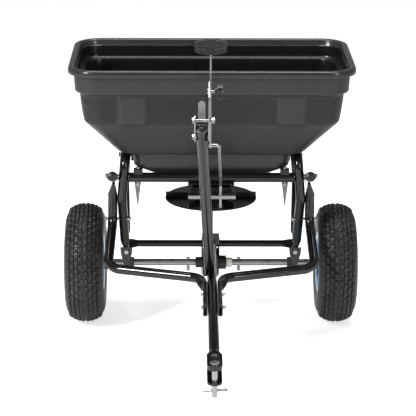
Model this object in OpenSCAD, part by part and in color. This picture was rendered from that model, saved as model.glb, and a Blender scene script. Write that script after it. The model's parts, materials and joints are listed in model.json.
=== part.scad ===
/* Tow-behind broadcast spreader: plastic hopper on a bent tube frame, two
   pneumatic wheels, a ground-driven spreading plate and a hand lever that
   moves the gate. Millimetres, +Z up, +Y towards the rear, +X to the right
   when seen from the towing machine. The origin is on the ground, on the
   middle plane, halfway between the front of the hitch and the back rim. */

/* [Hopper] */
// Outside width of the rim
rim_w = 753; // [700:1:800]
// Outside depth of the rim, front to back
rim_d = 417; // [380:1:440]
// Height of the rim above the ground
rim_z = 758; // [750:1:770]
// Wall thickness of the moulding
wall = 4; // [3:0.5:5]

/* [Wheels] */
// Tyre outside diameter
tyre_od = 330; // [320:1:335]
// Tyre section width
tyre_w = 108; // [106:1:110]
// Distance from the middle to each wheel's centre
half_track = 346; // [345:1:347]
// Axle diameter
axle_d = 19; // [18:0.5:20]

/* [Frame] */
// Outside diameter of the frame tubes
tube_d = 25.4; // [24:0.2:26]
// Wall thickness of the frame tubes
tube_wall = 1.8; // [1.2:0.1:2.4]
// Distance from the axle to the hitch pin
hitch_reach = 945; // [930:1:990]
// Hitch pin hole diameter
hitch_hole_d = 13.4; // [13:0.1:14]
// Clear gap between the two hitch plates
hitch_gap = 31; // [28:1:34]

/* [Drive] */
// Outside diameter of the spreading plate
impeller_d = 250; // [230:1:256]
// Diameter of the upright shaft
shaft_d = 12.7; // [12:0.1:13]
// Teeth on the axle's face gear
gear_teeth = 36; // [36:12:36]
// Teeth on the pinion
pinion_teeth = 12; // [12:12:12]

/* [Control] */
// Lean of the control tube above the horizontal, degrees
control_lean = 56; // [52:1:60]
// Lever length from its pivot to the grip
lever_up = 178; // [160:1:190]
// Lever length from its pivot down to the link
lever_down = 60; // [50:1:62]

/* [Hidden] */

$fn = 64;
run_gap = 0.05;       // radial running clearance
snug = 0.02;          // radial clearance of pieces fixed to a shaft
hole_gap = 0.3;       // radial clearance of a bolt in its hole
axle_z = tyre_od/2;
hitch_z = 221.5;      // middle of the gap between the hitch plates
tube_r = tube_d/2;
axle_r = axle_d/2;
shaft_r = shaft_d/2;
hopper_y = -8;

// hopper levels, from the rim down
lip_h = 18;
band_z = 690;
crease_z = 609;
shoulder_z = 512;
bowl_z = 470;
floor_z = 430;

// hoops and crossbars
hoop_x = 237;
hoop_y = 112;
hoop_top_z = shoulder_z - tube_d/2 - 0.3;
knee_z = 385;
foot_z = 208;
bar_z = 444;
rail_x = 264;
lower_bar_y = 24;
lower_bar_z = 212;
lower_bar_d = 19;

// frame tubes and drawbar
draw_z = 234;
clamp_front = -560;
clamp_back = -392;
flat_w = 11.4;
flat_h = 34;
draw_back = -16;
bolt_y1 = -440;
bolt_y2 = -533;

// drive train
gear_r = 30;
gear_module_w = 2.1;
pinion_z = axle_z + gear_r;
impeller_z = 353;
gate_z = 404;
link_x = 24;
link_y = -150;

// control group
foot_y = -330;
tube_len = 563;
ctl_side = 2.55;                        // sideways lean, degrees
ctl_r = 13.3;
pivot_y = -640;
pivot_z = 739;
stop_r = 97;
stop_a = 31;

// ---------- helpers ----------

function unit(v) = v/norm(v);
function turn_angle(a, b) = acos(max(-1, min(1, a*b)));

// A frame whose z axis lies along d, placed at p.
module along(p, d) {
    z = unit(d);
    x = unit(abs(z[2]) < 0.9 ? cross([0, 0, 1], z) : cross([1, 0, 0], z));
    y = cross(z, x);
    multmatrix([[x[0], y[0], z[0], p[0]], [x[1], y[1], z[1], p[1]],
        [x[2], y[2], z[2], p[2]], [0, 0, 0, 1]])
        children();
}

module rod(a, b, r) {
    along(a, b - a) cylinder(r = r, h = norm(b - a));
}

// Where a path bends next, seen from the end of its straight number i: the
// direction away from the bend's centre.
function outward(dirs, i) = i < len(dirs) - 1
    ? -unit(dirs[i + 1] - dirs[i]*(dirs[i + 1]*dirs[i]))
    : [0, 0, 0];

// The same direction carried round bend number i.
function carried(dirs, i, v) = let (a = turn_angle(dirs[i], dirs[i + 1]))
    v*cos(a) + dirs[i]*sin(a);

function twist(dirs, i) = let (now = carried(dirs, i, outward(dirs, i)),
    next = outward(dirs, i + 1), z = dirs[i + 1])
    norm(next) < 0.5 ? 0 : atan2(cross(now, next)*z, now*next);

// Section of a bar, or of a tube when t is its wall; shrink pulls both edges in.
module section(r, t, shrink = 0) {
    difference() {
        circle(r = r - shrink);
        if (t > 0) circle(r = r - t + shrink);
    }
}

// Draws straight number i and everything after it, in its own frame. The pieces
// stand a hair apart and a sleeve inside the wall joins them.
module straights(dirs, lengths, bend, r, t, i) {
    last = len(dirs) - 1;
    hair = 0.03;
    translate([0, 0, i > 0 ? hair : 0])
        linear_extrude(lengths[i] - (i > 0 ? hair : 0) - (i < last ? hair : 0))
            section(r, t);
    if (i < last) {
        a = turn_angle(dirs[i], dirs[i + 1]);
        translate([0, 0, lengths[i] - 1.2]) linear_extrude(2.4) section(r, t, 0.45);
        translate([-bend, 0, lengths[i]]) {
            rotate([90, 0, 0]) rotate_extrude(angle = a) translate([bend, 0]) section(r, t);
            rotate([0, -a, 0]) translate([bend, 0, 0]) rotate([0, 0, twist(dirs, i)]) {
                translate([0, 0, -1.2]) linear_extrude(2.4) section(r, t, 0.45);
                straights(dirs, lengths, bend, r, t, i + 1);
            }
        }
    }
}

// A round bar through the points, with a bend of radius bend at each inner one.
// With a wall thickness t it is a tube.
module bent(points, bend, r, t = 0) {
    n = len(points);
    dirs = [for (i = [0:n - 2]) unit(points[i + 1] - points[i])];
    cut = [for (i = [0:n - 1]) i == 0 || i == n - 1 ? 0
        : bend*tan(turn_angle(dirs[i - 1], dirs[i])/2)];
    lengths = [for (i = [0:n - 2]) norm(points[i + 1] - points[i]) - cut[i] - cut[i + 1]];
    z = dirs[0];
    x = n > 2 ? outward(dirs, 0) : unit(abs(z[2]) < 0.9 ? cross([0, 0, 1], z)
        : cross([1, 0, 0], z));
    y = cross(z, x);
    p = points[0];
    multmatrix([[x[0], y[0], z[0], p[0]], [x[1], y[1], z[1], p[1]],
        [x[2], y[2], z[2], p[2]], [0, 0, 0, 1]])
        straights(dirs, lengths, bend, r, t, 0);
}

module round_rect(w, d, r) {
    square([w - 2*r, d], center = true);
    square([w, d - 2*r], center = true);
    for (x = [-1, 1], y = [-1, 1])
        translate([x*(w/2 - r), y*(d/2 - r)]) circle(r = r);
}

// One convex layer between two rounded rectangles.
module layer(z1, w1, d1, r1, z2, w2, d2, r2) {
    hull() {
        translate([0, hopper_y, z1]) linear_extrude(0.01)
            round_rect(w1, d1, r1, $fn = 40);
        translate([0, hopper_y, z2 - 0.01]) linear_extrude(0.01)
            round_rect(w2, d2, r2, $fn = 40);
    }
}

// A hexagon bolt along +X from x1 to x2, head at x1, nut ending at x2.
module bolt_x(x1, x2, y, z, r) {
    s = x2 > x1 ? 1 : -1;
    translate([x1, y, z]) rotate([0, s*90, 0]) {
        cylinder(r = r, h = abs(x2 - x1));
        cylinder(r = r*1.85, h = r*1.2, $fn = 6);
        translate([0, 0, abs(x2 - x1) - r*2.2]) cylinder(r = r*1.85, h = r*1.6, $fn = 6);
    }
}

module bolt_z(x, y, z1, z2, r) {
    translate([x, y, z1]) {
        cylinder(r = r, h = z2 - z1);
        translate([0, 0, z2 - z1 - r*1.2]) cylinder(r = r*1.85, h = r*1.2, $fn = 6);
        translate([0, 0, r*0.6]) cylinder(r = r*1.85, h = r*1.6, $fn = 6);
    }
}

// Everything is drawn from the point on the ground under the axle, and moved
// here to the middle of the whole length.
tongue_r = 18;
middle_y = (hopper_y + rim_d/2 - hitch_reach - tongue_r)/2;

module place() {
    translate([0, -middle_y, 0]) children();
}

// ---------- hopper ----------

module hopper_outer(g) {
    // g moves every wall inwards, so the same layers draw the inside
    layer(band_z + 2 + g, 717 - 2*g, 384 - 2*g, 58 - g, rim_z + (g > 0 ? 1 : 0),
        724 - 2*g, 388 - 2*g, 60 - g);
    layer(crease_z, 672 - 2*g, 362 - 2*g, 52 - g, band_z + 3 + g, 698 - 2*g, 372 - 2*g,
        56 - g);
    layer(shoulder_z + g, 494 - 2*g, 240 - 2*g, 40 - g, crease_z + 1, 672 - 2*g,
        362 - 2*g, 52 - g);
    layer(bowl_z, 416 - 2*g, 200 - 2*g, 36 - g, shoulder_z + 1 + g, 424 - 2*g,
        210 - 2*g, 36 - g);
    layer(floor_z + g, 230 - 2*g, 150 - 2*g, 30 - g, bowl_z + 1, 416 - 2*g,
        200 - 2*g, 36 - g);
}

module hopper() {
    color([0.22, 0.22, 0.23]) place() difference() {
        union() {
            hopper_outer(0);
            translate([0, hopper_y, rim_z - lip_h]) linear_extrude(lip_h)
                round_rect(rim_w, rim_d, 70);
        }
        hopper_outer(wall);
        translate([0, hopper_y, rim_z - lip_h - 1]) linear_extrude(lip_h - 3)
            difference() {
                round_rect(rim_w - 6, rim_d - 6, 67);
                round_rect(731, 395, 64);
            }
        translate([0, 0, floor_z - 1]) linear_extrude(wall + 2) square([90, 100], center = true);
        for (s = [-1, 1], y = [-60, 44])
            translate([s*85, y, floor_z - 1]) cylinder(r = 3.6, h = wall + 2);
    }
}

module hopper_base_plate() {
    color([0.12, 0.12, 0.13]) place() difference() {
        translate([-100, -78, 424]) cube([200, 140, 5.7]);
        translate([-40, -58, 423]) cube([80, 34, 8]);
        translate([0, 0, 423]) cylinder(r = 10, h = 8);
        for (s = [-1, 1], y = [-60, 44]) translate([s*85, y, 423]) cylinder(r = 3.6, h = 8);
    }
}

module hopper_bushing() {
    color([0.85, 0.85, 0.82]) place() difference() {
        union() {
            translate([0, 0, 417]) cylinder(r = 9.9, h = 13);
            translate([0, 0, 429.9]) cylinder(r = 15, h = 4);
        }
        translate([0, 0, 416]) cylinder(r = shaft_r + run_gap, h = 20);
    }
}

module gate_guide() {
    color([0.1, 0.1, 0.11]) place() difference() {
        translate([-62, -102, 408.2]) cube([124, 162, 15.6]);
        translate([-40, -58, 400]) cube([80, 34, 30]);
        translate([0, 0, 400]) cylinder(r = 10, h = 30);
        translate([-50, -103, 412]) cube([100, 30, 8]);
    }
}

module gate_rails() {
    color([0.1, 0.1, 0.11]) place() for (s = [-1, 1]) difference() {
        translate([s > 0 ? 50 : -62, -102, 398]) cube([12, 162, 10]);
        translate([s > 0 ? 49 : -56, -103, gate_z - 0.3]) cube([7, 164, 3.6]);
    }
}

module slide_gate() {
    color([0.62, 0.63, 0.65]) place() difference() {
        union() {
            translate([-55, -150, gate_z]) cube([110, 172, 3]);
            translate([-62, -160, gate_z]) cube([126, 34, 3]);
            translate([-62, -160, gate_z - 6]) cube([126, 2.5, 6.5]);
        }
        // the port meets the guide's port when the gate is pulled forward
        translate([-40, -36, gate_z - 1]) cube([80, 34, 5]);
        translate([-shaft_r - 2, -29, gate_z - 1]) cube([2*shaft_r + 4, 80, 5]);
        translate([link_x, link_y, gate_z - 1]) cylinder(r = 5.4, h = 5);
    }
}

// ---------- spreading plate and drive ----------

module impeller() {
    color([0.07, 0.07, 0.08]) place() {
        difference() {
            union() {
                translate([0, 0, impeller_z]) cylinder(r = impeller_d/2, h = 2.2);
                translate([0, 0, impeller_z + 1]) cylinder(r = 16, h = 24);
                for (a = [0:60:359]) rotate([0, 0, a])
                    translate([14, -1.2, impeller_z + 1]) intersection() {
                        cube([impeller_d/2 - 15, 2.4, 18]);
                        translate([0, 3, 0]) rotate([90, 0, 0]) linear_extrude(6)
                            polygon([[0, 0], [112, 0], [112, 16], [96, 17], [0, 10]]);
                    }
            }
            translate([0, 0, impeller_z - 1]) cylinder(r = shaft_r + snug, h = 40);
        }
    }
}

module impeller_shaft() {
    color([0.75, 0.76, 0.78]) place() difference() {
        translate([0, 0, pinion_z - 5]) cylinder(r = shaft_r, h = 462 - pinion_z + 5);
        translate([0, 0, 450]) rotate([0, 90, 0]) cylinder(r = 2.5, h = 30, center = true);
    }
}

module agitator() {
    color([0.75, 0.76, 0.78]) place()
        bent([[-34, 0, 462], [-20, 0, 450], [20, 0, 450], [34, 0, 462]], 6, 2.45);
}

module pinion_gear() {
    color([0.55, 0.55, 0.52]) place() difference() {
        translate([0, 0, pinion_z - 3.5]) union() {
            cylinder(r = 7.6, h = 7);
            for (i = [0:pinion_teeth - 1]) rotate([0, 0, (i + 0.5)*360/pinion_teeth])
                linear_extrude(7) polygon([[6.8, -1.05], [10, -1.05], [11.5, -0.6],
                    [11.5, 0.6], [10, 1.05], [6.8, 1.05]]);
        }
        translate([0, 0, pinion_z - 10]) cylinder(r = shaft_r + snug, h = 20);
    }
}

module drive_gear() {
    color([0.55, 0.55, 0.52]) place() translate([0, 0, axle_z]) rotate([0, 90, 0])
        difference() {
            union() {
                translate([0, 0, 12.6]) cylinder(r = 34, h = 5);
                translate([0, 0, 12.6]) cylinder(r = 15, h = 12);
                for (i = [0:gear_teeth - 1]) rotate([0, 0, i*360/gear_teeth])
                    translate([27.5, -gear_module_w/2, 8.4])
                        cube([6.2, gear_module_w, 4.6]);
            }
            cylinder(r = axle_r + snug, h = 60);
        }
}

// One half of the housing, a body of revolution about the axle with a boss on
// top for the upright shaft. hub_room makes space for the gear's hub.
module gearbox_half(s, boss_r, boss_end, hub_room) {
    place() difference() {
        union() {
            translate([0, 0, axle_z]) rotate([0, s*90, 0]) {
                translate([0, 0, 0.05]) cylinder(r = 40, h = 21);
                translate([0, 0, 0.05]) cylinder(r = 42.5, h = 5);
                translate([0, 0, 17]) cylinder(r = boss_r, h = boss_end - 17);
            }
            intersection() {
                translate([0, 0, axle_z + 30]) cylinder(r = 12, h = 19);
                translate([s > 0 ? 0.05 : -20.05, -20, 0]) cube([20, 40, 400]);
            }
        }
        translate([0, 0, axle_z]) rotate([0, s*90, 0]) {
            translate([0, 0, -1]) cylinder(r = 36.6, h = 19.6);
            if (hub_room) translate([0, 0, 10]) cylinder(r = 15.6, h = 15.3);
            cylinder(r = axle_r + run_gap, h = 80);
        }
        translate([0, 0, axle_z]) cylinder(r = shaft_r + run_gap, h = 80);
    }
}

module gearbox_left_half() {
    color([0.1, 0.1, 0.11]) gearbox_half(-1, 15, 42, false);
}

module gearbox_right_half() {
    color([0.1, 0.1, 0.11]) gearbox_half(1, 19, 43, true);
}

module axle_collar() {
    color([0.88, 0.88, 0.86]) place() translate([43.5, 0, axle_z]) rotate([0, 90, 0])
        difference() {
            union() {
                cylinder(r = 12.5, h = 16);
                for (z = [0.5, 6.5, 12.5]) translate([0, 0, z]) cylinder(r = 14, h = 3);
            }
            translate([0, 0, -1]) cylinder(r = axle_r + snug, h = 20);
        }
}

module gearbox_strap() {
    color([0.75, 0.76, 0.78]) place() {
        for (s = [-1, 1]) translate([s > 0 ? 20.5 : -25.5, 42, 114])
            cube([5, 3, 110]);
        translate([-25.5, 42, 114]) cube([51, 3, 14]);
        translate([-25.5, 34.5, 217]) cube([51, 10.5, 3]);
    }
}

// Sits on the lower crossbar, guides the upright shaft and sockets the drawbar.
module shaft_support_block() {
    color([0.1, 0.1, 0.11]) place() difference() {
        union() {
            translate([-24, -12, 222]) cube([48, 53.8, 14]);
            translate([0, 0, 214.5]) cylinder(r = 13, h = 24);
            translate([-16, -56, 217.5]) cube([32, 46, 33]);
        }
        translate([0, 0, 200]) cylinder(r = shaft_r + run_gap, h = 60);
        translate([0, draw_back + 0.4, draw_z]) rotate([90, 0, 0])
            cylinder(r = tube_r + 0.1, h = 60);
        translate([0, draw_back - 22, 200]) cylinder(r = 4.3, h = 80);
    }
}

// ---------- axle, bearings and wheels ----------

axle_end = 397;

module axle() {
    color([0.75, 0.76, 0.78]) place() difference() {
        translate([-axle_end, 0, axle_z]) rotate([0, 90, 0])
            cylinder(r = axle_r, h = 2*axle_end);
        for (x = [-62.5, 78]) translate([x, 0, axle_z - 15]) cylinder(r = 3.1, h = 30);
        for (s = [-1, 1]) translate([s*392, 0, axle_z - 15]) cylinder(r = 2.1, h = 30);
        translate([drive_pin_x, 0, axle_z - 15]) cylinder(r = 4.1, h = 30);
    }
}

module axle_pins() {
    color([0.75, 0.76, 0.78]) place() {
        for (x = [-62.5, 78]) translate([x, 0, axle_z]) {
            translate([0, 0, -24]) cylinder(r = 3, h = 39);
            translate([0, 0, 11]) cylinder(r = 5, h = 3);
            translate([0, 0, -22]) rotate_extrude() translate([4.2, 0]) circle(r = 1.5);
            translate([0, 0, -17]) cylinder(r = 5.5, h = 4, $fn = 6);
        }
        for (s = [-1, 1]) translate([s*392, 0, axle_z - 14]) cylinder(r = 2, h = 28);
    }
}

module axle_washers() {
    color([0.78, 0.78, 0.8]) place() for (s = [-1, 1]) difference() {
        translate([s*388, 0, axle_z]) rotate([0, 90, 0])
            cylinder(r = 16, h = 2, center = true);
        translate([s*388, 0, axle_z]) rotate([0, 90, 0])
            cylinder(r = axle_r + run_gap, h = 6, center = true);
    }
}

module axle_bearings() {
    color([0.08, 0.08, 0.09]) place() for (s = [-1, 1]) difference() {
        union() {
            translate([s*226, 0, axle_z]) cube([27, 23, 23], center = true);
            translate([s*236.4, 0, axle_z]) rotate([0, 90, 0])
                cylinder(r = 17, h = 3.6, center = true);
        }
        translate([s*226, 0, axle_z]) rotate([0, 90, 0])
            cylinder(r = axle_r + run_gap, h = 60, center = true);
    }
}

plate_in = 228;       // inner face of the axle plates
plate_t = 4;
foot_y1 = -27;
gusset_y = -44.5;     // back face of the tapered plate in front of each foot
gusset_x = hoop_x - 5;
gusset_bolt_z = 211;
foot_y2 = 36;

// Each plate ties a hoop's two feet to the axle bearing.
module axle_plates() {
    color([0.1, 0.1, 0.11]) place() for (s = [-1, 1]) {
        difference() {
            translate([s > 0 ? plate_in : -plate_in - plate_t, 0, 0]) rotate([90, 0, 90])
                linear_extrude(plate_t) hull() {
                    translate([0, axle_z]) circle(r = 20, $fn = 48);
                    translate([foot_y1, foot_z]) circle(r = 13, $fn = 32);
                    translate([foot_y2, foot_z]) circle(r = 13, $fn = 32);
                }
            translate([s*226, 0, axle_z]) cube([60, 23.4, 23.4], center = true);
            for (y = [foot_y1, foot_y2]) bolt_hole_x(s*hoop_x, y, foot_z);
        }
        difference() {
            translate([s*gusset_x, gusset_y, 0]) rotate([90, 0, 0]) linear_extrude(3.5)
                polygon([[-17, 224], [17, 224], [15.5, 206], [6, 172], [-6, 172], [-15.5, 206]]);
            translate([s*gusset_x, gusset_y + 10, gusset_bolt_z]) rotate([90, 0, 0])
                cylinder(r = 3 + hole_gap, h = 20);
        }
    }
}

module bolt_hole_x(x, y, z, r = 4, len = 60) {
    translate([x, y, z]) rotate([0, 90, 0]) cylinder(r = r + hole_gap, h = len, center = true);
}

// Tyre and rim sections are drawn as radius against distance from the centre plane.
module tyre_section() {
    hw = tyre_w/2;
    ro = tyre_od/2;
    difference() {
        hull() {
            for (m = [-1, 1]) {
                translate([ro - 22, m*(hw - 24)]) circle(r = 22, $fn = 48);
                translate([ro - 48, m*(hw - 30)]) circle(r = 30, $fn = 48);
            }
            translate([75.5, -44]) square([8, 88]);
        }
        hull() {
            for (m = [-1, 1]) {
                translate([ro - 30, m*(hw - 32)]) circle(r = 18, $fn = 40);
                translate([ro - 50, m*(hw - 33)]) circle(r = 24, $fn = 40);
            }
            translate([70, -30]) square([8, 60]);
        }
        // room for the rim's bead flanges
        for (m = [-1, 1]) translate([0, m > 0 ? 43.3 : -73.3]) square([84.4, 30]);
        translate([0, -hw]) square([75.6, tyre_w]);
    }
}

module tyre(s) {
    color([0.06, 0.06, 0.06]) place() translate([s*half_track, 0, axle_z])
        rotate([0, 90, 0]) rotate_extrude($fn = 96) tyre_section();
}

module tyre_left() { tyre(-1); }
module tyre_right() { tyre(1); }

// Half of a two-piece pressed rim: dish, barrel and bead flange.
module rim_half(side, out) {
    color([0.36, 0.62, 0.85]) place() translate([side*half_track, 0, axle_z])
        rotate([0, side*out*90, 0]) difference() {
            rotate_extrude() polygon([[19.3, 0.1], [62, 0.1], [66, 4], [70, 10],
                [70, 40], [74, 43.5], [84, 45.5], [84, 49], [72, 48], [66.5, 44],
                [66.5, 11], [60, 3.1], [19.3, 3.1]]);
            for (a = [45:90:359]) rotate([0, 0, a]) translate([48, 0, -1])
                cylinder(r = 4.3, h = 6);
            if (out > 0) rotate([0, 0, 90]) translate([68, 0, 22]) rotate([0, 90, 0])
                cylinder(r = 5.2, h = 12, center = true);
        }
}

module rim_left_inner() { rim_half(-1, -1); }
module rim_left_outer() { rim_half(-1, 1); }
module rim_right_inner() { rim_half(1, -1); }
module rim_right_outer() { rim_half(1, 1); }

hub_in = 286;          // inner end of both hub tubes
drive_pin_x = 326;

// Hub tube with its two bushings and the four bolts that clamp the rim halves.
module hub(s, bore) {
    z = hub_in - half_track;
    place() translate([s*half_track, 0, axle_z]) rotate([0, s*90, 0]) {
        color([0.8, 0.8, 0.82]) difference() {
            union() {
                translate([0, 0, z]) cylinder(r = 19.2, h = 100);
                translate([0, 0, z]) cylinder(r = 24, h = 3);
                translate([0, 0, z + 97]) cylinder(r = 24, h = 3);
            }
            translate([0, 0, z - 8]) cylinder(r = bore, h = 120);
            if (s > 0) translate([0, 0, drive_pin_x - half_track]) rotate([0, 90, 0])
                cylinder(r = 4.1, h = 60, center = true);
        }
        color([0.75, 0.76, 0.78]) for (a = [45:90:359]) rotate([0, 0, a])
            translate([48, 0, -8]) {
                cylinder(r = 4, h = 16);
                translate([0, 0, 11.2]) cylinder(r = 7, h = 4.8, $fn = 6);
                cylinder(r = 7, h = 4.7, $fn = 6);
            }
    }
}

module hub_left() { hub(-1, axle_r + run_gap); }
module hub_right() { hub(1, axle_r + snug); }

module valve(s) {
    color([0.05, 0.05, 0.05]) place() translate([s*half_track, 0, axle_z])
        rotate([0, s*90, 0]) rotate([0, 0, 90]) translate([66.9, 0, 22]) {
            rotate([0, 90, 0]) cylinder(r = 5, h = 6);
            rotate([0, -62, 0]) translate([0, 0, -1]) cylinder(r = 3.4, h = 26);
        }
}

module valve_left() { valve(-1); }
module valve_right() { valve(1); }

module wheel_drive_pin() {
    color([0.75, 0.76, 0.78]) place() translate([drive_pin_x, 0, axle_z]) {
        translate([0, 0, -27]) cylinder(r = 4, h = 50);
        translate([0, 0, 21]) cylinder(r = 7, h = 3);
    }
}

// ---------- frame ----------

foot_x = hoop_x - 1;
flat_foot = 8;

// The hoop rises from two flattened feet, knees outwards, and runs under the
// hopper's shoulder.
module hoop(s) {
    y1 = hopper_y - 104;
    y2 = hopper_y + 104;
    ends = [[s*foot_x, foot_y1 - 10, foot_z + 34], [s*foot_x, foot_y2 + 8, foot_z + 34]];
    knees = [[s*(hoop_x + 3), y1, knee_z], [s*(hoop_x + 3), y2, knee_z]];
    color([0.08, 0.08, 0.09]) place() difference() {
        union() {
            bent([ends[0], knees[0], [s*(hoop_x - 6), y1, hoop_top_z],
                [s*(hoop_x - 6), y2, hoop_top_z], knees[1], ends[1]], 34, tube_r, tube_wall);
            for (i = [0, 1]) hull() {
                along(ends[i] + unit(knees[i] - ends[i])*0.4, knees[i] - ends[i])
                    cylinder(r = tube_r - 0.1, h = 0.1, $fn = 32);
                translate([s*foot_x, i == 0 ? foot_y1 : foot_y2, foot_z + 14])
                    cube([flat_foot, 30, 1], center = true);
            }
            for (y = [foot_y1, foot_y2]) translate([s*foot_x, y, foot_z])
                cube([flat_foot, 30, 28.8], center = true);
        }
        frame_holes();
    }
}

module hoop_left() { hoop(-1); }
module hoop_right() { hoop(1); }

crossing_y = hopper_y - 75;
crossing_z = 318;
rail_bolt_y = 88;
rail_bolt_z = 383;

// Every cross hole in the side frames.
module frame_holes() {
    for (s = [-1, 1]) {
        for (y = [foot_y1, foot_y2]) bolt_hole_x(s*hoop_x, y, foot_z);
        for (y = [hopper_y - 104, hopper_y + 104]) bolt_hole_x(s*(hoop_x + 12), y, bar_z + 4, 4, 80);
        bolt_hole_x(s*(hoop_x + 24), rail_bolt_y, rail_bolt_z, 4, 90);
        translate([s*252, crossing_y, crossing_z]) rotate([0, 90, 0])
            cylinder(r = 3.8, h = 86, center = true);
    }
}

function rail_front(s) = [s*rail_x, hopper_y - 128, bar_z + 9];
function rail_back(s) = [s*(rail_x + 3.5), hopper_y + 118, bar_z - 66];

module side_rail(s) {
    color([0.08, 0.08, 0.09]) place() difference() {
        bent([rail_front(s), rail_back(s)], 20, tube_r, tube_wall);
        frame_holes();
    }
}

module side_rail_left() { side_rail(-1); }
module side_rail_right() { side_rail(1); }

module cap(p, d, r) {
    along(p, d) {
        cylinder(r = r, h = 4);
        intersection() {
            translate([0, 0, -14]) sphere(r = 22);
            translate([0, 0, 3.5]) cylinder(r = r - 0.6, h = 6);
        }
        translate([0, 0, -12]) cylinder(r = tube_r - tube_wall - 0.05, h = 12.5);
    }
}

module tube_caps() {
    color([0.2, 0.2, 0.21]) place() {
        for (s = [-1, 1])
            cap(rail_front(s) + unit(rail_front(s) - rail_back(s))*0.2,
                rail_front(s) - rail_back(s), 13.6);
        cap(ctl_point(tube_len + 0.2), ctl_dir(), 14.2);
    }
}

module crossbar(y) {
    half = hoop_x - tube_r - 3.2;
    color([0.08, 0.08, 0.09]) place() difference() {
        translate([-half, y, bar_z]) rotate([0, 90, 0]) cylinder(r = 13, h = 2*half);
        translate([-half - 1, y, bar_z]) rotate([0, 90, 0]) cylinder(r = 11.2, h = 2*half + 2);
        for (s = [-1, 1]) translate([s*196, y, bar_z - 30]) cylinder(r = 3.6, h = 60);
    }
}

module front_crossbar() { crossbar(hopper_y - 104); }
module rear_crossbar() { crossbar(hopper_y + 104); }

module lower_crossbar() {
    half = plate_in - 0.4;
    color([0.08, 0.08, 0.09]) place() difference() {
        union() {
            translate([-half + 26, lower_bar_y, lower_bar_z]) rotate([0, 90, 0])
                cylinder(r = lower_bar_d/2, h = 2*half - 52);
            for (s = [-1, 1]) translate([s*(half - 26), lower_bar_y, lower_bar_z]) {
                rotate([0, 90, 0])
                    cylinder(r = lower_bar_d/2 - 0.9, h = 4, center = true);
                hull() {
                    translate([s*0.03, 0, 0]) rotate([0, s*90, 0])
                        cylinder(r = lower_bar_d/2 - 0.1, h = 0.5, $fn = 32);
                    translate([s*21, 0, 0]) cube([10, 7, 24], center = true);
                }
            }
        }
        translate([-half + 25, lower_bar_y, lower_bar_z]) rotate([0, 90, 0])
            cylinder(r = lower_bar_d/2 - 1.8, h = 2*half - 50);
        for (s = [-1, 1]) translate([s*(half - 14), lower_bar_y, lower_bar_z])
            cube([40, 2, 14], center = true);
    }
}

// From the flattened end beside the drawbar, out to the side and up to the rail.
function frame_path(s) = [[s*26.4, clamp_back + 30, draw_z], [s*26.4, clamp_back + 66, draw_z],
    [s*274, -236, draw_z - 4], [s*(rail_x + 2), hopper_y - 82, 316],
    [s*(rail_x + 1), hopper_y - 104, 398]];

module frame_tube(s) {
    x = s*(tube_r + 0.4 + flat_w/2);
    p = frame_path(s);
    top = p[4];
    flat_len = clamp_back - clamp_front;
    color([0.08, 0.08, 0.09]) place() difference() {
        union() {
            bent(p, 44, tube_r, tube_wall);
            translate([x, clamp_back - flat_len/2, draw_z]) rotate([90, 0, 0])
                linear_extrude(flat_len, center = true) round_rect(flat_w, flat_h, 4.5);
            hull() {
                translate([x, clamp_back + 0.13, draw_z]) rotate([90, 0, 0])
                    linear_extrude(0.1) round_rect(flat_w - 0.2, flat_h - 0.2, 4.4, $fn = 24);
                translate([p[0][0], clamp_back + 29.97, draw_z]) rotate([90, 0, 0])
                    cylinder(r = tube_r - 0.1, h = 0.1, $fn = 32);
            }
            translate([x, clamp_back, draw_z])
                cube([flat_w - 1.6, 4, flat_h - 9], center = true);
            translate([p[0][0], clamp_back + 32, draw_z]) rotate([90, 0, 0])
                cylinder(r = tube_r - 0.9, h = 4);
            hull() {
                along(top + unit(top - p[3])*0.03, top - p[3])
                    cylinder(r = tube_r - 0.1, h = 0.1, $fn = 32);
                translate(top + [-s*3, -4, 30.5]) cube([7, 26, 1], center = true);
            }
            along(top - unit(top - p[3])*2, top - p[3]) cylinder(r = tube_r - 0.9, h = 4);
        }
        translate([x, clamp_back - flat_len/2 + 12, draw_z])
            cube([6, flat_len + 28, 26], center = true);
        for (y = [bolt_y1, bolt_y2]) bolt_hole_x(s*20, y, draw_z);
        frame_holes();
    }
}

module frame_tube_left() { frame_tube(-1); }
module frame_tube_right() { frame_tube(1); }

// Tapered straps that hang from the front crossbar to brace it to the axle plates.
module hopper_straps() {
    color([0.55, 0.55, 0.57]) place() for (s = [-1, 1])
        translate([s*198 - 9, hopper_y - 87, 0]) rotate([90, 0, 0]) linear_extrude(2.5)
            polygon([[0, 448], [18, 448], [18, 428], [10.4, 362], [7.6, 362], [0, 428]]);
}

// Rubber blocks between the crossbars and the bowl.
module hopper_mounts() {
    color([0.06, 0.06, 0.06]) place() for (s = [-1, 1], y = [hopper_y - 104, hopper_y + 104])
        difference() {
            translate([s*196 - 12, y - 10, bar_z + 10]) cube([24, 20, 14]);
            translate([s*196, y, bar_z - 5]) cylinder(r = 3.6, h = 40);
            translate([-300, y, bar_z]) rotate([0, 90, 0]) cylinder(r = 13.1, h = 600);
        }
}

module hopper_bolts() {
    color([0.75, 0.76, 0.78]) place() {
        for (s = [-1, 1], y = [hopper_y - 104, hopper_y + 104])
            bolt_z(s*196, y, bar_z - 24, bar_z + 29, 3.3);
        for (s = [-1, 1], y = [-60, 44])
            translate([s*85, y, 416]) {
                cylinder(r = 3.3, h = 24);
                translate([0, 0, 2.5]) cylinder(r = 6, h = 5, $fn = 6);
                translate([0, 0, 18.1]) cylinder(r = 6, h = 4, $fn = 6);
            }
    }
}

// A bolt along X that starts at |x| = from and runs outwards for len.
module side_bolt(s, from, y, z, len, nut_at) {
    translate([s*from, y, z]) rotate([0, s*90, 0]) {
        cylinder(r = 4, h = len);
        cylinder(r = 7, h = 4.4, $fn = 6);
        translate([0, 0, nut_at]) cylinder(r = 7, h = 5, $fn = 6);
    }
}

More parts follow.
